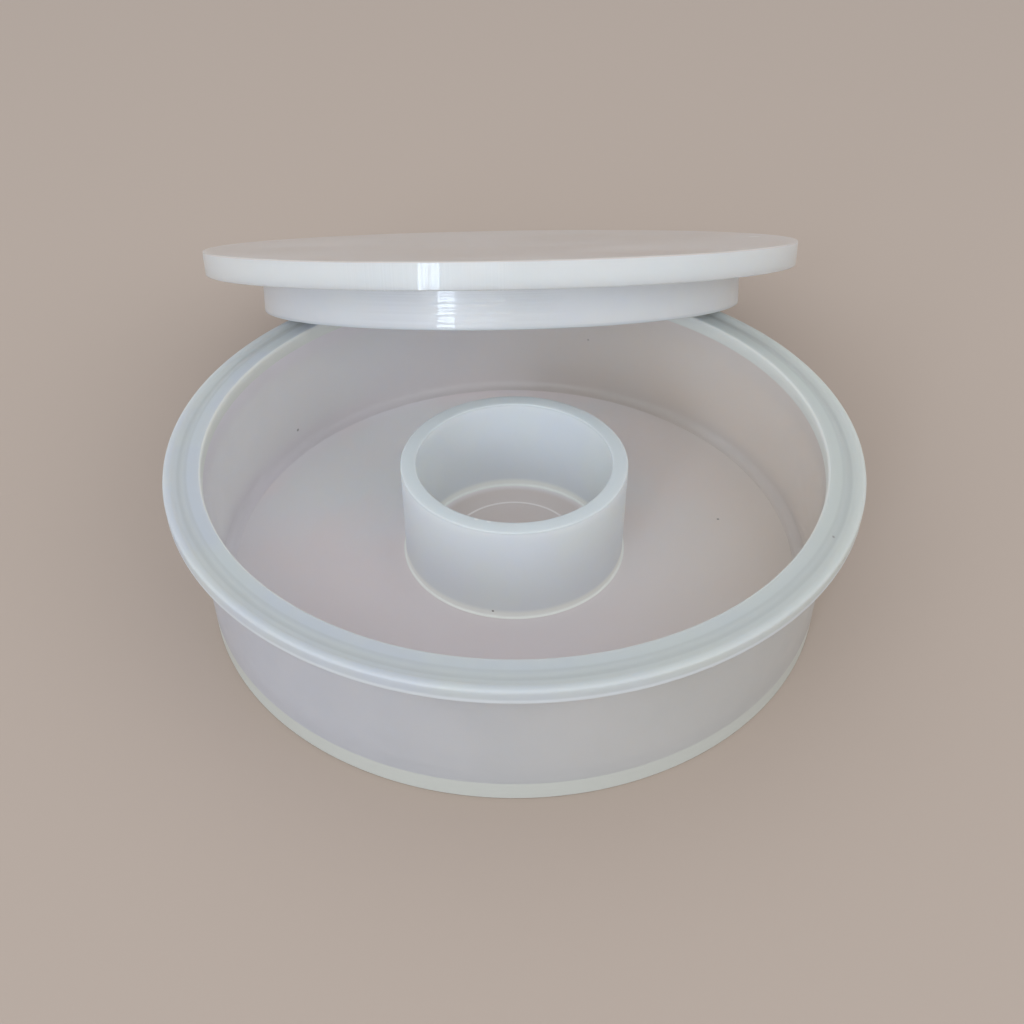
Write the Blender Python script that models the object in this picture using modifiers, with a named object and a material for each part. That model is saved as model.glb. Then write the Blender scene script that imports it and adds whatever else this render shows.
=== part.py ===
"""Ring dish with a loose lid: a round plastic dish with a plain tube standing
in its middle, and a flat lid whose skirt drops into the dish.

The dish stands on z = 0 with its axis on the Z axis. The lid leans on the
dish from behind, open towards -Y.
"""

import math

import bpy
from mathutils import Matrix, Vector

MM = 0.001

# Dish
BORE_RADIUS = 53.8 * MM
WALL_THICKNESS = 2.1 * MM
BASE_THICKNESS = 3.6 * MM
DISH_HEIGHT = 29.0 * MM
COVE_RADIUS = 1.8 * MM          # round of the wall's foot inside the dish
COVE_LIP = 0.1 * MM             # straight lip under the cove

# Rim ring on top of the wall
RIM_WIDTH = 6.2 * MM            # from the bore to the rim's outer face
RIM_THICKNESS = 2.7 * MM
RIM_GROOVE_FROM_EDGE = 1.1 * MM
RIM_GROOVE_WIDTH = 2.3 * MM
RIM_GROOVE_DEPTH = 0.5 * MM
BORE_CHAMFER = 0.4 * MM

# Tube in the middle of the dish
TUBE_RADIUS = 20.3 * MM
TUBE_WALL = 2.8 * MM
TUBE_TOP = 23.1 * MM            # height above the table
TUBE_SEAT_DEPTH = 0.8 * MM      # how deep the floor's seat takes the tube

# Fine circle scribed in the floor, inside the tube
CIRCLE_RADIUS = 11.9 * MM
CIRCLE_WIDTH = 0.4 * MM
CIRCLE_DEPTH = 0.2 * MM

# Lid
LID_OVERHANG = 3.0 * MM         # plate edge beyond the rim, all round
LID_THICKNESS = 4.9 * MM
SKIRT_CLEARANCE = 2.3 * MM      # skirt to bore, all round
SKIRT_WALL = 2.8 * MM
SKIRT_HEIGHT = 8.0 * MM         # below the plate's underside

# How the lid leans on the dish
LEAN_TILT = math.radians(23.3)
LEAN_TURN = math.radians(2.6)   # lean direction, from +Y towards -X

JOINT_GAP = 0.3 * MM            # between bonded pieces
REST_GAP = 0.2 * MM             # between the leaning lid and the rim
EDGE_BREAK = 0.25 * MM          # chamfer on every turned corner
SEGMENTS = 64
COVE_STEPS = 5

RIM_RADIUS = BORE_RADIUS + RIM_WIDTH
WALL_RADIUS = BORE_RADIUS + WALL_THICKNESS
WALL_FOOT = BASE_THICKNESS + JOINT_GAP
WALL_TOP = DISH_HEIGHT - RIM_THICKNESS - JOINT_GAP
TUBE_BORE = TUBE_RADIUS - TUBE_WALL
LID_RADIUS = RIM_RADIUS + LID_OVERHANG
SKIRT_RADIUS = BORE_RADIUS - SKIRT_CLEARANCE
SKIRT_BORE = SKIRT_RADIUS - SKIRT_WALL


def clear_scene():
    for thing in list(bpy.data.objects):
        bpy.data.objects.remove(thing)


def plastic(name, colour, roughness):
    material = bpy.data.materials.new(name)
    material.use_nodes = True
    shader = material.node_tree.nodes["Principled BSDF"]
    shader.inputs["Base Color"].default_value = (*colour, 1.0)
    shader.inputs["Roughness"].default_value = roughness
    shader.inputs["Metallic"].default_value = 0.0
    return material


def chamfered(outline, corners, size=EDGE_BREAK):
    """The outline with each corner in corners cut by a chamfer."""
    points = []
    for i, corner in enumerate(outline):
        if i not in corners:
            points.append(corner)
            continue
        here = Vector(corner)
        for other in (outline[i - 1], outline[(i + 1) % len(outline)]):
            points.append(tuple(here + (Vector(other) - here).normalized() * size))
    return points


def turned(name, outline, material, collection, on_axis=False):
    """A turned solid from (radius, height) points, outer side top to bottom."""
    count = len(outline)
    edges = [(i, i + 1) for i in range(count - 1)]
    if not on_axis:
        edges.append((count - 1, 0))
    profile = bpy.data.meshes.new(name + "_profile")
    profile.from_pydata([(radius, 0.0, height) for radius, height in outline], edges, [])
    maker = bpy.data.objects.new(name + "_maker", profile)
    collection.objects.link(maker)
    screw = maker.modifiers.new("Turn", "SCREW")
    screw.angle = math.tau
    screw.steps = SEGMENTS
    screw.render_steps = SEGMENTS
    screw.use_merge_vertices = True
    screw.merge_threshold = 0.00001
    bpy.context.view_layer.update()
    seen = maker.evaluated_get(bpy.context.evaluated_depsgraph_get())
    mesh = bpy.data.meshes.new_from_object(seen)
    bpy.data.objects.remove(maker)
    bpy.data.meshes.remove(profile)
    mesh.name = name
    mesh.shade_smooth()
    mesh.set_sharp_from_angle(angle=math.radians(30))
    mesh.materials.clear()
    mesh.materials.append(material)
    piece = bpy.data.objects.new(name, mesh)
    collection.objects.link(piece)
    return piece


def base_plate(material, collection):
    """The floor: a disc with a seat for the tube and a circle scribed inside it."""
    seat_outer = TUBE_RADIUS + JOINT_GAP
    seat_inner = TUBE_BORE - JOINT_GAP
    seat_floor = BASE_THICKNESS - TUBE_SEAT_DEPTH
    half = CIRCLE_WIDTH / 2
    outline = [
        (0.0, BASE_THICKNESS),
        (CIRCLE_RADIUS - half, BASE_THICKNESS),
        (CIRCLE_RADIUS, BASE_THICKNESS - CIRCLE_DEPTH),
        (CIRCLE_RADIUS + half, BASE_THICKNESS),
        (seat_inner, BASE_THICKNESS),
        (seat_inner, seat_floor),
        (seat_outer, seat_floor),
        (seat_outer, BASE_THICKNESS),
        (WALL_RADIUS, BASE_THICKNESS),
        (WALL_RADIUS, EDGE_BREAK),
        (WALL_RADIUS - EDGE_BREAK, 0.0),
        (0.0, 0.0),
    ]
    return turned("base_plate", outline, material, collection, on_axis=True)


def wall_tube(material, collection):
    """The dish's wall, with a cove at its foot that runs into the floor."""
    centre = Vector((BORE_RADIUS - COVE_RADIUS, WALL_FOOT + COVE_LIP + COVE_RADIUS))
    cove = []
    for step in range(COVE_STEPS + 1):
        angle = math.radians(90) * (step / COVE_STEPS - 1)
        point = centre + COVE_RADIUS * Vector((math.cos(angle), math.sin(angle)))
        cove.append(tuple(point))
    outline = [
        (WALL_RADIUS, WALL_TOP),
        (WALL_RADIUS, WALL_FOOT),
        (BORE_RADIUS - COVE_RADIUS, WALL_FOOT),
        *cove,
        (BORE_RADIUS, WALL_TOP),
    ]
    return turned("wall_tube", outline, material, collection)


def rim_ring(material, collection):
    """The flange round the mouth, with one shallow groove in its top face."""
    groove_outer = RIM_RADIUS - RIM_GROOVE_FROM_EDGE
    groove_inner = groove_outer - RIM_GROOVE_WIDTH
    groove_floor = DISH_HEIGHT - RIM_GROOVE_DEPTH
    underside = DISH_HEIGHT - RIM_THICKNESS
    outline = [
        (groove_outer, DISH_HEIGHT),
        (RIM_RADIUS - EDGE_BREAK, DISH_HEIGHT),
        (RIM_RADIUS, DISH_HEIGHT - EDGE_BREAK),
        (RIM_RADIUS, underside + EDGE_BREAK),
        (RIM_RADIUS - EDGE_BREAK, underside),
        (BORE_RADIUS, underside),
        (BORE_RADIUS, DISH_HEIGHT - BORE_CHAMFER),
        (BORE_RADIUS + BORE_CHAMFER, DISH_HEIGHT),
        (groove_inner, DISH_HEIGHT),
        (groove_inner, groove_floor),
        (groove_outer, groove_floor),
    ]
    return turned("rim_ring", outline, material, collection)


def centre_tube(material, collection):
    """The plain tube that stands in the floor's seat."""
    foot = BASE_THICKNESS - TUBE_SEAT_DEPTH + JOINT_GAP
    corners = [
        (TUBE_RADIUS, TUBE_TOP),
        (TUBE_RADIUS, foot),
        (TUBE_BORE, foot),
        (TUBE_BORE, TUBE_TOP),
    ]
    return turned("centre_tube", chamfered(corners, {0, 3}), material, collection)


def lid_plate(material, collection):
    """The lid's flat disc. Its underside is its own z = 0."""
    corners = [
        (0.0, LID_THICKNESS),
        (LID_RADIUS, LID_THICKNESS),
        (LID_RADIUS, 0.0),
        (0.0, 0.0),
    ]
    return turned("lid_plate", chamfered(corners, {1, 2}), material, collection, on_axis=True)


def lid_skirt(material, collection):
    """The hollow ring under the lid that drops into the dish."""
    corners = [
        (SKIRT_RADIUS, -JOINT_GAP),
        (SKIRT_RADIUS, -SKIRT_HEIGHT),
        (SKIRT_BORE, -SKIRT_HEIGHT),
        (SKIRT_BORE, -JOINT_GAP),
    ]
    return turned("lid_skirt", corners, material, collection)


def leaning_place():
    """Where the middle of the lid's underside is when the lid leans.

    The skirt's rear lower edge stands on the table. The lid comes forward
    until the skirt's inner lower edge lies across the rim at two points, or
    the plate's underside meets the back of the rim, whichever is first.
    """
    sine, cosine = math.sin(LEAN_TILT), math.cos(LEAN_TILT)
    height = SKIRT_RADIUS * sine + SKIRT_HEIGHT * cosine
    crossing = DISH_HEIGHT + REST_GAP / cosine
    along = SKIRT_RADIUS - crossing / sine
    across = math.sqrt(SKIRT_BORE**2 - along**2)
    standing_edge = math.sqrt(RIM_RADIUS**2 - across**2) + crossing * cosine / sine
    by_skirt = standing_edge - SKIRT_RADIUS * cosine + SKIRT_HEIGHT * sine
    by_plate = RIM_RADIUS + ((DISH_HEIGHT - height) * cosine + REST_GAP) / sine
    return Vector((0.0, max(by_skirt, by_plate), height))


def lean(pieces, collection):
    """Parents the lid's pieces to an empty at the lid's middle, and leans it."""
    frame = bpy.data.objects.new("lid_frame", None)
    collection.objects.link(frame)
    for piece in pieces:
        piece.parent = frame
    turn = Matrix.Rotation(LEAN_TURN, 4, "Z")
    place = Matrix.Translation(leaning_place())
    frame.matrix_world = turn @ place @ Matrix.Rotation(-LEAN_TILT, 4, "X")


def build():
    clear_scene()
    collection = bpy.data.collections.new("ring_dish")
    bpy.context.scene.collection.children.link(collection)
    base_plate(plastic("base_plastic", (0.56, 0.56, 0.54), 0.38), collection)
    wall_tube(plastic("wall_plastic", (0.60, 0.63, 0.63), 0.42), collection)
    rim_ring(plastic("rim_plastic", (0.66, 0.70, 0.71), 0.40), collection)
    centre_tube(plastic("tube_plastic", (0.62, 0.67, 0.69), 0.42), collection)
    plate = lid_plate(plastic("lid_plastic", (0.70, 0.72, 0.68), 0.32), collection)
    skirt = lid_skirt(plastic("skirt_plastic", (0.60, 0.61, 0.62), 0.36), collection)
    lean((plate, skirt), collection)
    bpy.context.view_layer.update()


build()
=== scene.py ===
"""Looks of the ring dish and its leaning lid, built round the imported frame."""

import math

import bpy
from mathutils import Matrix, Vector


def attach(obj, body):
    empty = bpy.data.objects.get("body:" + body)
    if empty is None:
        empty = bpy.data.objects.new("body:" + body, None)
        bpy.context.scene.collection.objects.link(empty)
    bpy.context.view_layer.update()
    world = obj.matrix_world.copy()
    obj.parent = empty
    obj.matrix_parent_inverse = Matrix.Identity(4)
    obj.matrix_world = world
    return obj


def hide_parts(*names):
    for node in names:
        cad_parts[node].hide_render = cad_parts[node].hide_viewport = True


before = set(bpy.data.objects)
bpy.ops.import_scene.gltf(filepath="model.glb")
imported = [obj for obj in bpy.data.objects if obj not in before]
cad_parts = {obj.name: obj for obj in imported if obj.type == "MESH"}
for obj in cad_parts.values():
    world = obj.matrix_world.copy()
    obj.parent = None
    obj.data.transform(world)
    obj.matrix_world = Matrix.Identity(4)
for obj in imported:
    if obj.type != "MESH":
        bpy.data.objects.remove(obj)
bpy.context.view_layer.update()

MM = 0.001

# How finely the pieces are made
SIDES = 240                     # steps round every turned piece
ROUND_STEPS = 3                 # steps of a rounded corner
TOOL_ROUND = 0.25 * MM          # round that the turning tool leaves on a corner
SAME_PLACE = 0.002 * MM         # points this close count as one place
WELD = 0.001 * MM               # points this close are merged
CREASE = 35                     # degrees: a sharper edge than this stays sharp
FLOOR_CREASE = 12               # the scribed circle is shallow, and its edges are sharp

# Rim ring
GROOVE_FROM_EDGE = 1.1 * MM
GROOVE_WIDTH = 2.3 * MM
GROOVE_DEPTH = 0.3 * MM
GROOVE_SLOPE = 0.7 * MM         # how far the groove's two sides lean
GROOVE_ROUND = 0.35 * MM
RIM_ROUND = 0.45 * MM           # its outer edges, and the mouth's edge

# Wall and floor
COVE_RADIUS = 1.8 * MM
COVE_STEPS = 8
COVE_LIP = 0.05 * MM            # height of the cove's toe
CIRCLE_RADIUS = 11.9 * MM       # fine circle scribed in the floor, inside the tube
CIRCLE_WIDTH = 0.4 * MM
CIRCLE_DEPTH = 0.06 * MM

# Tube and lid
BEAD_RADIUS = 0.4 * MM          # weld bead at the tube's foot
BEAD_STEPS = 5
BEAD_LIFT = 0.04 * MM           # the bead's toe is this far up, and this high
LID_TAPER = 0.3 * MM            # the lid plate is this much wider at its top

# Small marks, in mm
FLOOR_SPECK = (39.5, 6.8)
WALL_SPECKS = ((-44.8, 29.8, 8.3), (16.0, 51.4, 17.0))
RIM_SPECK = (49.9, -27.8)
TUBE_SPECK = (-3.7, -20.0, 4.9)
TUBE_NICKS = ((-6.3, -16.6), (-4.2, -17.2))
# a painted glint at one tiny spot on the lid's top
LID_GLINT_SPOT = (-56.5, -2.0)
LID_LINED = (1.2, 1.5)          # where tool lines show on the lid's edge, in radians
RING_LINED = (1.2, 1.55)        # and on the ring below it

# View
CAMERA_PLACE = Vector((0.0, -161.9, 144.0)) * MM
CAMERA_AIM = Vector((-0.4, 0.0, 10.9)) * MM
CAMERA_LENS = 39.8


# ------------------------------------------------------------------
# Sizes read from the frame
# ------------------------------------------------------------------

def lid_place():
    """The lid's own axes: z = 0 on the plate's underside, +Z out of its top."""
    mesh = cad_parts["lid_plate"].data
    widest = max(mesh.polygons, key=lambda face: face.area)
    normal = Vector(widest.normal)
    if normal.z < 0:
        normal.negate()
    across = Vector((0, 0, 1)).cross(normal).normalized()
    behind = normal.cross(across)
    points = [v.co for v in mesh.vertices]
    middle = normal * min(p.dot(normal) for p in points)
    for way in (across, behind):
        reach = [p.dot(way) for p in points]
        middle += way * (min(reach) + max(reach)) / 2
    return Matrix((
        (across.x, behind.x, normal.x, middle.x),
        (across.y, behind.y, normal.y, middle.y),
        (across.z, behind.z, normal.z, middle.z),
        (0, 0, 0, 1),
    ))


def turned_size(node, place=Matrix()):
    """(inner radius, outer radius, bottom, top) of a turned node on its own axis."""
    inverse = place.inverted()
    points = [inverse @ v.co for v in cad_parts[node].data.vertices]
    radii = [math.hypot(p.x, p.y) for p in points]
    heights = [p.z for p in points]
    return min(radii), max(radii), min(heights), max(heights)


UPRIGHT = Matrix()
LID = lid_place()


# ------------------------------------------------------------------
# Modelling
# ------------------------------------------------------------------

def near(a, b):
    return abs(a - b) < SAME_PLACE


def pick(piece, kind, test):
    """Selects only the vertices or faces whose middle passes the test."""
    bpy.ops.mesh.select_mode(type=kind)
    bpy.ops.mesh.select_all(action="DESELECT")
    bpy.ops.object.mode_set(mode="OBJECT")
    for part in piece.data.vertices if kind == "VERT" else piece.data.polygons:
        part.select = test(part.co if kind == "VERT" else part.center)
    bpy.ops.object.mode_set(mode="EDIT")


def section(inner, outer, bottom, top):
    """A rectangular cross-section standing in the XZ plane, in edit mode."""
    bpy.ops.object.select_all(action="DESELECT")
    middle = ((inner + outer) / 2, 0, (bottom + top) / 2)
    bpy.ops.mesh.primitive_plane_add(size=1.0, rotation=(math.radians(90), 0, 0), location=middle)
    piece = bpy.context.object
    piece.scale = (outer - inner, top - bottom, 1)
    bpy.ops.object.transform_apply(location=True, rotation=True, scale=True)
    bpy.ops.object.mode_set(mode="EDIT")
    return piece


def cut(radius=None, height=None):
    """Cuts the cross-section along one radius or one height."""
    bpy.ops.mesh.select_all(action="SELECT")
    place, way = ((radius, 0, 0), (1, 0, 0)) if height is None else ((0, 0, height), (0, 0, 1))
    bpy.ops.mesh.bisect(plane_co=place, plane_no=way, threshold=WELD)


def take_out(piece, inner, outer, bottom, top):
    """Removes a rectangle from the cross-section."""
    for radius in (inner, outer):
        cut(radius=radius)
    for height in (bottom, top):
        cut(height=height)
    pick(piece, "FACE", lambda p: inner < p.x < outer and bottom < p.z < top)
    bpy.ops.mesh.delete(type="FACE")
    # The rest becomes one face again
    bpy.ops.mesh.select_all(action="SELECT")
    bpy.ops.mesh.dissolve_limited(angle_limit=math.radians(0.1))


def round_corners(piece, size, corners, steps=ROUND_STEPS):
    """Rounds the cross-section's corners at these (radius, height) places."""
    pick(piece, "VERT", lambda p: any(near(p.x, r) and near(p.z, h) for r, h in corners))
    bpy.ops.mesh.bevel(affect="VERTICES", offset=size, segments=steps)


def turn(piece, name, node, body, finish, place=UPRIGHT, crease=CREASE):
    """Spins the cross-section once round Z and hands the piece over to its body."""
    # A section that starts at the axis loses its edge there, and its ends close in a pole
    bpy.ops.mesh.select_mode(type="FACE")
    bpy.ops.mesh.select_all(action="SELECT")
    bpy.ops.mesh.delete(type="ONLY_FACE")
    pick(piece, "VERT", lambda p: near(p.x, 0))
    bpy.ops.mesh.select_mode(type="EDGE")
    bpy.ops.mesh.delete(type="EDGE")
    bpy.ops.mesh.select_all(action="SELECT")
    bpy.ops.mesh.spin(steps=SIDES, angle=math.tau, center=(0, 0, 0), axis=(0, 0, 1))
    bpy.ops.mesh.select_all(action="SELECT")
    bpy.ops.mesh.remove_doubles(threshold=WELD)
    bpy.ops.mesh.normals_make_consistent(inside=False)
    bpy.ops.object.mode_set(mode="OBJECT")
    piece.matrix_world = place
    bpy.ops.object.transform_apply(location=True, rotation=True, scale=True)
    bpy.ops.object.shade_smooth_by_angle(angle=math.radians(crease))
    bpy.ops.object.modifier_add(type="WEIGHTED_NORMAL")
    piece.modifiers[0].keep_sharp = True
    bpy.ops.object.modifier_apply(modifier=piece.modifiers[0].name)
    piece.name = name
    piece.data.name = name
    piece.data.materials.append(finish.material)
    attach(piece, body)
    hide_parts(node)


# ------------------------------------------------------------------
# Finishes
# ------------------------------------------------------------------

class Value:
    """A value over a surface. Sums, products and powers of values add Math nodes."""

    def __init__(self, finish, socket):
        self.finish = finish
        self.socket = socket

    def __add__(self, other):
        return self.finish.maths("ADD", self, other)

    def __sub__(self, other):
        return self.finish.maths("SUBTRACT", self, other)

    def __rsub__(self, other):
        return self.finish.maths("SUBTRACT", other, self)

    def __mul__(self, other):
        return self.finish.maths("MULTIPLY", self, other)

    def __pow__(self, other):
        return self.finish.maths("POWER", self, other)

    __radd__ = __add__
    __rmul__ = __mul__


class Finish:
    """Milky plastic: one shader that scatters light deep inside, and one for the skin
    along edges and joints, mixed. Every pattern is laid out in mm on the piece's own axes.
    """

    def __init__(self, slot, place=UPRIGHT, see=0.2, depth=3.0, **constants):
        self.slot = slot
        self.material = bpy.data.materials.new(slot)
        self.material.use_nodes = True
        self.tree = self.material.node_tree
        inside = self.tree.nodes["Principled BSDF"]
        skin = self.tree.nodes.new("ShaderNodeBsdfPrincipled")
        self.shaders = (inside, skin)
        for shader in self.shaders:
            shader.inputs["IOR"].default_value = 1.49
            shader.inputs["Transmission Weight"].default_value = see
            for socket, value in constants.items():
                shader.inputs[socket.replace("_", " ")].default_value = value
        inside.inputs["Subsurface Weight"].default_value = 1.0
        inside.inputs["Subsurface Radius"].default_value = (1.0, 0.92, 0.84)
        inside.inputs["Subsurface Scale"].default_value = depth * MM
        back = place.inverted()
        self.point = self.add("ShaderNodeMapping", {
            "Vector": self.add("ShaderNodeTexCoord", out="Object"),
            "Location": back.translation / MM,
            "Rotation": back.to_euler(),
            "Scale": (1 / MM,) * 3,
        })
        self.x, self.y, self.height = (
            self.add("ShaderNodeSeparateXYZ", {"Vector": self.point}, out=axis) for axis in "XYZ"
        )
        self.radius = (self.x * self.x + self.y * self.y) ** 0.5
        self.angle = self.maths("ARCTAN2", self.y, self.x)

    def add(self, kind, sockets=(), out=0, **settings):
        """Adds one node, its settings first, and gives one of its outputs."""
        node = self.tree.nodes.new(kind)
        for name, value in settings.items():
            setattr(node, name, value)
        for name, value in dict(sockets).items():
            self.plug(node.inputs[name], value)
        return Value(self, node.outputs[out])

    def plug(self, socket, value):
        if isinstance(value, Value):
            self.tree.links.new(value.socket, socket)
        else:
            socket.default_value = value

    def feed(self, name, value):
        for shader in self.shaders:
            self.plug(shader.inputs[name], value)

    def skin(self, share):
        """Mixes in the skin shader where share is 1."""
        inside, skin = self.shaders
        mixed = self.add("ShaderNodeMixShader", {
            0: share, 1: Value(self, inside.outputs[0]), 2: Value(self, skin.outputs[0])})
        self.plug(self.tree.nodes["Material Output"].inputs["Surface"], mixed)

    def maths(self, operation, *values):
        return self.add("ShaderNodeMath", enumerate(values), operation=operation)

    def rise(self, value, low, high):
        """0 up to low, 1 from high, smooth in between. It falls where low is above high."""
        return self.add("ShaderNodeMapRange", {"Value": value, "From Min": low, "From Max": high},
                        interpolation_type="SMOOTHSTEP")

    def band(self, value, low, high, soft):
        """1 from low to high, fading to 0 over soft on both sides."""
        return self.rise(value, low - soft, low) * self.rise(value, high + soft, high)

    def cloud(self, size, low=0.4, high=0.6, stretch=(1, 1, 1), detail=2.0):
        """Soft patches about size mm across: 0 in some, 1 in others."""
        turned = self.add("ShaderNodeMapping", {"Vector": self.point, "Scale": stretch})
        noise = self.add("ShaderNodeTexNoise", {
            "Vector": turned, "Scale": 1 / size, "Detail": detail})
        return self.rise(noise, low, high)

    def lines(self, along, size, low=0.3, high=0.7, detail=3.0):
        """Fine tool lines about size mm apart, counted along one way."""
        noise = self.add("ShaderNodeTexNoise", {
            "W": along, "Scale": 1 / size, "Detail": detail}, noise_dimensions="1D")
        return self.rise(noise, low, high)

    def tones(self, a, b, size=12.0, low=0.35, high=0.65):
        """Two colours in soft patches."""
        return self.tint(self.cloud(size, low, high), a, b)

    def gloss(self, roughness, size=7.0, spread=0.1):
        """Roughness in soft patches, from this much to spread more."""
        self.feed("Roughness", roughness + self.cloud(size) * spread)

    def either(self, a, b):
        return self.maths("MAXIMUM", a, b)

    def speck(self, place, size):
        """1 at one small spot, 0 elsewhere. The place is in mm on the piece's own axes."""
        away = self.add("ShaderNodeVectorMath", {0: self.point, 1: place}, out="Value",
                        operation="DISTANCE")
        return self.rise(away, size * 1.3, size * 0.6)

    def tint(self, share, a, b):
        """Colour a where share is 0, colour b where it is 1."""
        return self.add("ShaderNodeMix", {0: share, 6: a, 7: b}, out=2, data_type="RGBA")

    def bump(self, height, depth):
        """Raises the surface by up to depth mm where height goes from 0 to 1."""
        self.feed("Normal", self.add("ShaderNodeBump", {"Height": height, "Distance": depth * MM}))


# Plastic colours, as light leaves a thick piece
ROSY_HAZE = (0.99, 0.91, 0.91, 1)       # floor, in two soft tones
GREY_HAZE = (0.96, 0.94, 0.96, 1)
NEAR_FLOOR_PAINTED_SHADE = (0.76, 0.70, 0.71, 1)       # painted shade on the floor, in front of the tube
RIGHT_FLOOR_PAINTED_SHADE = (0.78, 0.70, 0.63, 1)      # painted warm shade on the floor, on the right
WELL_FLOOR_PAINTED_SHADE = (0.80, 0.71, 0.67, 1)       # painted warm shade on the floor, inside the tube
FLOOR_EDGE_PAINTED_GLOW = (0.62, 0.64, 0.60, 1)       # painted glow along the floor's edge
# scribed circle: a real shallow groove, its light line a painted highlight
SCRIBED_PAINTED_LIGHT = (1.0, 0.93, 0.90, 1)
OUTER_WALL_COOL_LIGHT = (0.62, 0.64, 0.70, 1)      # wall outside, left and right: painted cool light on the left
OUTER_HAZE = (0.60, 0.61, 0.60, 1)
INNER_WALL_PAINTED_LIGHT = (0.99, 0.95, 0.99, 1)      # wall inside, left and right: painted lighter than the outside, painted warm light on the right
INNER_WALL_WARM_LIGHT = (0.86, 0.78, 0.72, 1)
WALL_CLOUD = (0.80, 0.79, 0.79, 1)
MILK = (0.60, 0.64, 0.65, 1)            # rim, in two soft tones
COOL_MILK = (0.58, 0.62, 0.67, 1)
RIM_WARM_PAINTED_LIGHT = (0.61, 0.64, 0.60, 1)       # painted warm light on the rim, on the right
# painted light in the rim's groove
GROOVE_PAINTED_LIGHT = (0.66, 0.68, 0.66, 1)
GROOVE_SHADE = (0.44, 0.46, 0.45, 1)
# painted light on the rim's mouth face
MOUTH_PAINTED_LIGHT = (0.83, 0.85, 0.80, 1)
# painted highlight along lower edges
PAINTED_EDGE_HIGHLIGHT = (0.72, 0.76, 0.79, 1)
TUBE_MILK = (0.79, 0.83, 0.84, 1)       # tube, in two soft tones
TUBE_COOL = (0.78, 0.82, 0.86, 1)
# painted light at the tube's foot
TUBE_FOOT_PAINTED_LIGHT = (0.88, 0.90, 0.87, 1)
TUBE_LIP = (0.67, 0.72, 0.74, 1)
# painted glow at the tube's foot, also the light colour of the nicks
FOOT_PAINTED_GLOW_AND_NICK_WHITE = (0.99, 0.99, 0.95, 1)
LID_SMEAR_PAINTED_REFLECTION = (0.71, 0.64, 0.60, 1)       # lid's top, in two soft tones of smears, coloured as a painted reflection of the room
LID_TOP_PAINTED_REFLECTION = (0.80, 0.74, 0.71, 1)
LID_EDGE = (0.88, 0.92, 0.94, 1)        # lid's edge, in two soft tones
LID_EDGE_COOL = (0.86, 0.91, 0.96, 1)
SKIRT = (0.86, 0.88, 0.89, 1)           # lid's ring, in two soft tones
SKIRT_COOL = (0.84, 0.86, 0.89, 1)
SPECK = (0.22, 0.20, 0.19, 1)
# painted glint
GLINT_WHITE = (1.0, 0.98, 0.96, 1)
DARK = (0, 0, 0, 1)


# ------------------------------------------------------------------
# Pieces
# ------------------------------------------------------------------

TUBE_INNER, TUBE_OUTER, _, TUBE_TOP = (size / MM for size in turned_size("centre_tube"))
BORE, RIM_OUTER, RIM_BOTTOM, RIM_TOP = (size / MM for size in turned_size("rim_ring"))
_, WALL_OUTER, _, FLOOR_TOP = (size / MM for size in turned_size("base_plate"))


def make_floor():
    _, outer, bottom, top = turned_size("base_plate")
    finish = Finish("floor_plastic", see=0.12, depth=2.0)
    radius, height = finish.radius, finish.height
    haze = finish.tones(ROSY_HAZE, GREY_HAZE, 22.0, 0.38, 0.62)
    # Painted shade: the floor darker towards the front, outside the tube
    near_side = finish.rise(finish.y, 25.0, -35.0) * finish.rise(radius, 16.0, 22.0)
    haze = finish.tint(near_side, haze, NEAR_FLOOR_PAINTED_SHADE)
    # Painted warm shade on the floor's right side
    haze = finish.tint(finish.rise(finish.x, 0.0, 60.0), haze, RIGHT_FLOOR_PAINTED_SHADE)
    # Painted warm shade on the floor inside the tube
    haze = finish.tint(finish.rise(radius, TUBE_INNER, TUBE_INNER - 2.0), haze, WELL_FLOOR_PAINTED_SHADE)
    # Painted glow along the floor's outer edge
    edge = finish.rise(radius, WALL_OUTER - 1.0, WALL_OUTER - 0.3)
    ring = CIRCLE_RADIUS / MM
    # The scribed circle is a real shallow groove; its light line is a painted highlight
    circle = finish.band(radius, ring - 0.15, ring + 0.15, 0.15)
    circle *= finish.rise(height, FLOOR_TOP - 1.0, FLOOR_TOP - 0.5)
    colour = finish.tint(edge, haze, FLOOR_EDGE_PAINTED_GLOW)
    colour = finish.tint(circle, colour, SCRIBED_PAINTED_LIGHT)
    colour = finish.tint(finish.speck((*FLOOR_SPECK, FLOOR_TOP), 0.25) * 0.8, colour, SPECK)
    finish.feed("Base Color", colour)
    finish.gloss(0.33, 8.0, 0.12)
    finish.bump(finish.lines(radius + height, 0.4), 0.003)
    finish.skin(finish.either(
        finish.rise(radius, BORE - 6.0, BORE - 2.5),
        finish.band(radius, ring - 1.0, TUBE_OUTER + 2.0, 2.0)))
    piece = section(0, outer, bottom, top)
    for side in (-CIRCLE_WIDTH / 2, 0, CIRCLE_WIDTH / 2):
        cut(radius=CIRCLE_RADIUS + side)
    pick(piece, "VERT", lambda p: near(p.x, CIRCLE_RADIUS) and near(p.z, top))
    bpy.ops.transform.translate(value=(0, 0, -CIRCLE_DEPTH))
    round_corners(piece, TOOL_ROUND, [(outer, bottom)])
    turn(piece, "floor_disc", "base_plate", "dish", finish, crease=FLOOR_CREASE)


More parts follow.
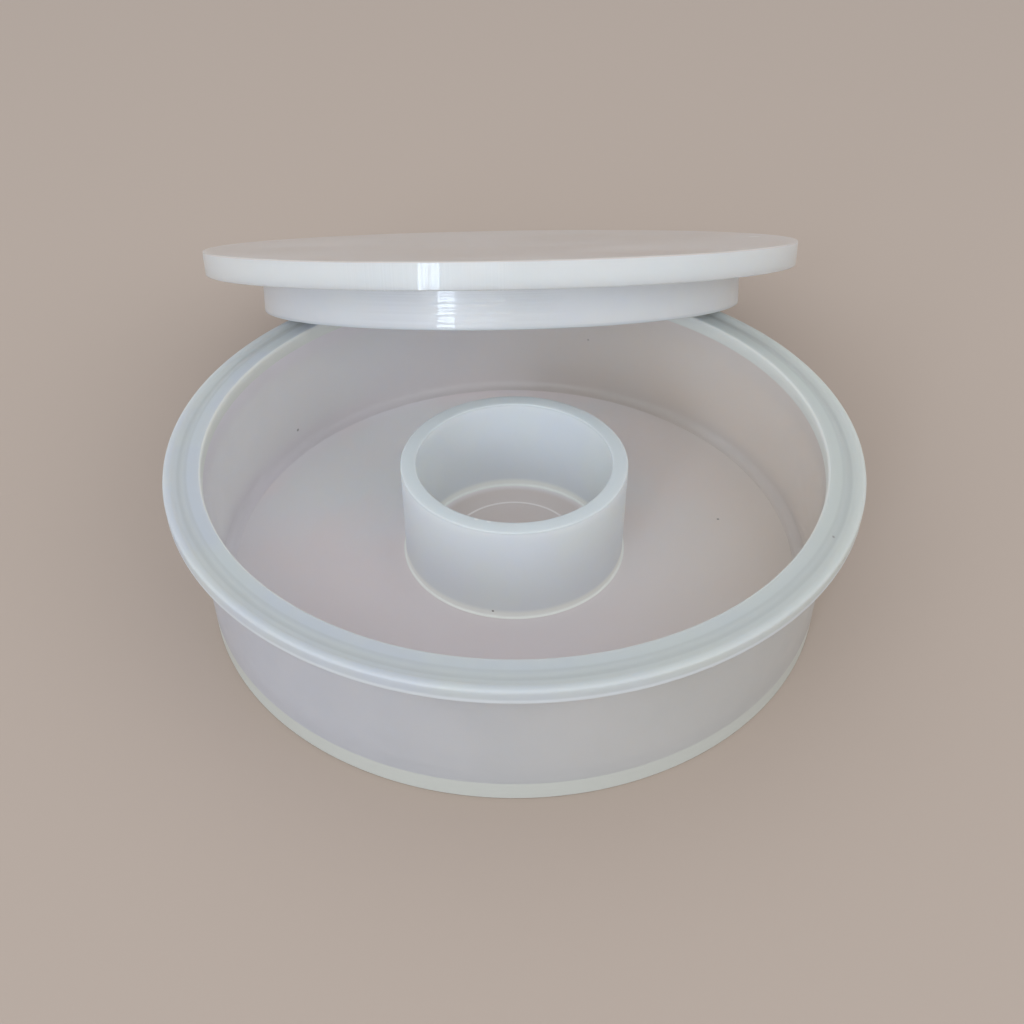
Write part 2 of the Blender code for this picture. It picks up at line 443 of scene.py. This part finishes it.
def make_wall():
    inner, _, top, _ = turned_size("rim_ring")
    _, outer, _, foot = turned_size("base_plate")
    finish = Finish("wall_plastic", see=0.3, Coat_Weight=0.35, Coat_Roughness=0.12)
    radius, height = finish.radius, finish.height
    inside = finish.rise(radius, WALL_OUTER - 0.5, BORE + 0.5)
    # Painted light: cool on the left, warm on the right, and the wall lighter inside than outside
    right = finish.rise(finish.x, -55.0, 30.0)
    outer_lit_haze = finish.tint(right, OUTER_WALL_COOL_LIGHT, OUTER_HAZE)
    inner_lit_haze = finish.tint(right, INNER_WALL_PAINTED_LIGHT, INNER_WALL_WARM_LIGHT)
    haze = finish.tint(inside, outer_lit_haze, inner_lit_haze)
    haze = finish.tint(finish.cloud(20.0, 0.3, 0.7) * 0.2, haze, WALL_CLOUD)
    left_speck, right_speck = WALL_SPECKS
    marks = finish.speck(left_speck, 0.3) + finish.speck(right_speck, 0.25) * 0.6
    finish.feed("Base Color", finish.tint(marks * 0.7, haze, SPECK))
    finish.gloss(0.36)
    finish.bump(finish.lines(radius + height, 0.45), 0.003)
    finish.skin(finish.either(
        finish.rise(height, FLOOR_TOP + 4.5, FLOOR_TOP + 2.0),
        finish.rise(height, RIM_BOTTOM - 4.0, RIM_BOTTOM - 2.0)))
    toe = inner - COVE_RADIUS - COVE_LIP
    piece = section(toe, outer, foot, top)
    take_out(piece, toe - MM, inner, foot + COVE_LIP, top + MM)
    round_corners(piece, COVE_RADIUS, [(inner, foot + COVE_LIP)], COVE_STEPS)
    turn(piece, "wall", "wall_tube", "dish", finish)


def make_rim():
    inner, outer, bottom, top = turned_size("rim_ring")
    finish = Finish("rim_plastic", see=0.15)
    radius, height = finish.radius, finish.height
    colour = finish.tones(MILK, COOL_MILK)
    # Painted warm light on the rim's right side
    colour = finish.tint(finish.rise(finish.x, -10.0, 60.0) * 0.8, colour, RIM_WARM_PAINTED_LIGHT)
    groove_middle = RIM_OUTER - (GROOVE_FROM_EDGE + GROOVE_WIDTH / 2) / MM
    groove = finish.band(radius, groove_middle - 0.9, groove_middle + 0.9, 0.4)
    groove *= finish.rise(height, RIM_TOP - 1.2, RIM_TOP - 0.8)
    # Painted light lifting the groove's shade
    colour = finish.tint(groove * 0.4, colour, GROOVE_PAINTED_LIGHT)
    shade = finish.band(radius, RIM_OUTER - 3.7, RIM_OUTER - 2.5, 0.5)
    colour = finish.tint(shade * 0.4, colour, GROOVE_SHADE)
    # Painted highlight along the rim's lower outer edge
    lower_edge = finish.rise(height, RIM_BOTTOM + 1.2, RIM_BOTTOM + 0.7)
    lower_edge *= finish.rise(radius, RIM_OUTER - 1.2, RIM_OUTER - 0.7)
    colour = finish.tint(lower_edge, colour, PAINTED_EDGE_HIGHLIGHT)
    # Painted light on the mouth's inner face
    colour = finish.tint(finish.rise(radius, BORE + 0.4, BORE + 0.1), colour, MOUTH_PAINTED_LIGHT)
    colour = finish.tint(finish.speck((*RIM_SPECK, RIM_TOP), 0.3) * 0.8, colour, SPECK)
    finish.feed("Base Color", colour)
    finish.gloss(0.42)
    finish.bump(finish.lines(radius + height, 0.35), 0.003)
    seat = finish.rise(radius, BORE + 3.0, BORE + 1.5)
    seat *= finish.rise(height, RIM_BOTTOM + 1.6, RIM_BOTTOM + 0.8)
    finish.skin(finish.either(lower_edge, seat))
    groove_outer = outer - GROOVE_FROM_EDGE
    groove_inner = groove_outer - GROOVE_WIDTH
    groove_floor = top - GROOVE_DEPTH
    piece = section(inner, outer, bottom, top)
    take_out(piece, groove_inner, groove_outer, groove_floor, top + MM)
    for side, lean in ((groove_inner, GROOVE_SLOPE), (groove_outer, -GROOVE_SLOPE)):
        pick(piece, "VERT", lambda p: near(p.x, side) and near(p.z, groove_floor))
        bpy.ops.transform.translate(value=(lean, 0, 0))
    round_corners(piece, GROOVE_ROUND, [
        (groove_inner, top), (groove_inner + GROOVE_SLOPE, groove_floor),
        (groove_outer - GROOVE_SLOPE, groove_floor), (groove_outer, top)])
    round_corners(piece, RIM_ROUND, [(outer, bottom), (outer, top), (inner, top)])
    turn(piece, "rim", "rim_ring", "dish", finish)


def make_tube():
    inner, outer, _, top = turned_size("centre_tube")
    foot = turned_size("base_plate")[3]
    finish = Finish("tube_plastic", see=0.1, Emission_Strength=0.05)
    radius, height = finish.radius, finish.height
    colour = finish.tones(TUBE_MILK, TUBE_COOL)
    # Painted glow at the tube's foot, over the weld bead: a lighter colour and a faint emission
    foot_band = finish.rise(height, FLOOR_TOP + 2.0, FLOOR_TOP + 0.8)
    finish.feed("Emission Color", finish.tint(foot_band, DARK, FOOT_PAINTED_GLOW_AND_NICK_WHITE))
    colour = finish.tint(foot_band, colour, TUBE_FOOT_PAINTED_LIGHT)
    colour = finish.tint(finish.rise(height, TUBE_TOP - 0.7, TUBE_TOP - 0.2), colour, TUBE_LIP)
    # Light nicks on the tube's top edge
    for nick in TUBE_NICKS:
        colour = finish.tint(finish.speck((*nick, TUBE_TOP), 0.4) * 0.5, colour, FOOT_PAINTED_GLOW_AND_NICK_WHITE)
    colour = finish.tint(finish.speck(TUBE_SPECK, 0.22), colour, SPECK)
    finish.feed("Base Color", colour)
    finish.gloss(0.4)
    finish.bump(finish.lines(radius + height, 0.4), 0.002)
    finish.skin(finish.rise(height, FLOOR_TOP + 3.5, FLOOR_TOP + 1.5))
    base = foot + BEAD_LIFT
    knee = base + BEAD_LIFT
    piece = section(inner - BEAD_RADIUS, outer + BEAD_RADIUS, base, top)
    take_out(piece, inner - BEAD_RADIUS - MM, inner, knee, top + MM)
    take_out(piece, outer, outer + BEAD_RADIUS + MM, knee, top + MM)
    round_corners(piece, BEAD_RADIUS - BEAD_LIFT, [(inner, knee), (outer, knee)], BEAD_STEPS)
    round_corners(piece, TOOL_ROUND, [(inner, top), (outer, top)])
    turn(piece, "tube", "centre_tube", "dish", finish)


def make_lid_disc():
    _, outer, bottom, top = turned_size("lid_plate", LID)
    thick, reach = top / MM, outer / MM
    finish = Finish("lid_plastic", LID, see=0.3, depth=5.0, Coat_Roughness=0.03)
    side = finish.rise(finish.height, thick - 0.15, thick - 0.3)
    smears = finish.cloud(17.0, 0.3, 0.7, (0.6, 1.5, 1.0))
    # Painted reflection of the room on the lid's top, in soft smears
    top_colour = finish.tint(smears, LID_SMEAR_PAINTED_REFLECTION, LID_TOP_PAINTED_REFLECTION)
    # A painted glint at one tiny spot
    top_colour = finish.tint(finish.speck((*LID_GLINT_SPOT, thick), 1.3), top_colour, GLINT_WHITE)
    edge_colour = finish.tint(finish.cloud(14.0), LID_EDGE, LID_EDGE_COOL)
    finish.feed("Base Color", finish.tint(side, top_colour, edge_colour))
    finish.feed("Roughness", 0.3 + smears * 0.12)
    upright_lines = finish.lines(finish.angle * reach, 0.3) * side
    upright_lines *= finish.band(finish.angle, *LID_LINED, 0.2)
    finish.feed("Coat Weight", 0.35 + upright_lines * 0.65)
    finish.skin(0.0)
    piece = section(0, outer, bottom, top)
    pick(piece, "VERT", lambda p: near(p.x, outer) and near(p.z, top))
    bpy.ops.transform.translate(value=(LID_TAPER, 0, 0))
    round_corners(piece, TOOL_ROUND, [(outer, bottom), (outer + LID_TAPER, top)])
    turn(piece, "lid_disc", "lid_plate", "lid", finish, LID)


def make_lid_ring():
    inner, outer, bottom, _ = turned_size("lid_skirt", LID)
    low = bottom / MM
    finish = Finish("skirt_plastic", LID, see=0.25, Coat_Roughness=0.03)
    radius, height = finish.radius, finish.height
    colour = finish.tones(SKIRT, SKIRT_COOL)
    # Painted highlight along the ring's bottom lip
    lip = finish.rise(height, low + 0.7, low + 0.3)
    finish.feed("Base Color", finish.tint(lip, colour, PAINTED_EDGE_HIGHLIGHT))
    finish.gloss(0.28)
    tool_lines = finish.lines(radius + height, 0.45, 0.45, 0.55)
    tool_lines *= finish.band(finish.angle, *RING_LINED, 0.3)
    finish.feed("Coat Weight", 0.1 + tool_lines * 0.9)
    finish.skin(finish.rise(height, -3.0, -1.2))
    piece = section(inner, outer, bottom, 0)
    round_corners(piece, TOOL_ROUND, [(inner, bottom), (outer, bottom)])
    turn(piece, "lid_ring", "lid_skirt", "lid", finish, LID)


# ------------------------------------------------------------------
# Studio
# ------------------------------------------------------------------

def stage_floor():
    bpy.ops.object.select_all(action="DESELECT")
    bpy.ops.mesh.primitive_plane_add(size=6.0, location=(0, 0, -0.05 * MM))
    floor = bpy.context.object
    floor.name = "stage_floor"
    paint = bpy.data.materials.new("stage_paint")
    paint.use_nodes = True
    shader = paint.node_tree.nodes["Principled BSDF"]
    shader.inputs["Base Color"].default_value = (0.50, 0.41, 0.35, 1)
    shader.inputs["Roughness"].default_value = 0.8
    floor.data.materials.append(paint)


def soft_light(name, azimuth, elevation, distance, width, height, power, colour):
    """A square-on panel of light. Azimuth 0 stands at -Y, positive towards +X."""
    aim = Vector((0, 30, 30)) * MM
    side, lift = math.radians(azimuth), math.radians(elevation)
    way = Vector((
        math.sin(side) * math.cos(lift), -math.cos(side) * math.cos(lift), math.sin(lift)))
    panel = bpy.data.lights.new(name, "AREA")
    panel.shape = "RECTANGLE"
    panel.size = width
    panel.size_y = height
    panel.energy = power
    panel.color = colour
    light = bpy.data.objects.new(name, panel)
    light.location = aim + way * distance
    light.rotation_euler = way.to_track_quat("Z", "Y").to_euler()
    bpy.context.scene.collection.objects.link(light)


def studio():
    for name, azimuth in (("window_left_pane", -27.2), ("window_right_pane", -23.1)):
        soft_light(name, azimuth, 15, 1.6, 0.10, 0.8, 2.4, (0.70, 0.83, 1.0))
    soft_light("main_panel", -25, 33, 1.3, 1.3, 0.9, 4.2, (0.94, 0.97, 1.0))
    soft_light("fill_panel", 50, 30, 1.4, 1.0, 0.9, 2.4, (1.0, 0.99, 0.95))
    world = bpy.data.worlds.new("room")
    world.use_nodes = True
    background = world.node_tree.nodes["Background"]
    background.inputs["Color"].default_value = (0.80, 0.82, 0.84, 1)
    background.inputs["Strength"].default_value = 0.90
    scene = bpy.context.scene
    scene.world = world
    scene.view_settings.view_transform = "Standard"


def camera():
    data = bpy.data.cameras.new("camera")
    data.lens = CAMERA_LENS
    data.sensor_width = 36.0
    data.clip_start = 0.01
    eye = bpy.data.objects.new("camera", data)
    eye.location = CAMERA_PLACE
    eye.rotation_euler = (CAMERA_AIM - CAMERA_PLACE).to_track_quat("-Z", "Y").to_euler()
    bpy.context.scene.collection.objects.link(eye)
    bpy.context.scene.camera = eye


camera()
studio()
stage_floor()
make_floor()
make_wall()
make_rim()
make_tube()
make_lid_disc()
make_lid_ring()
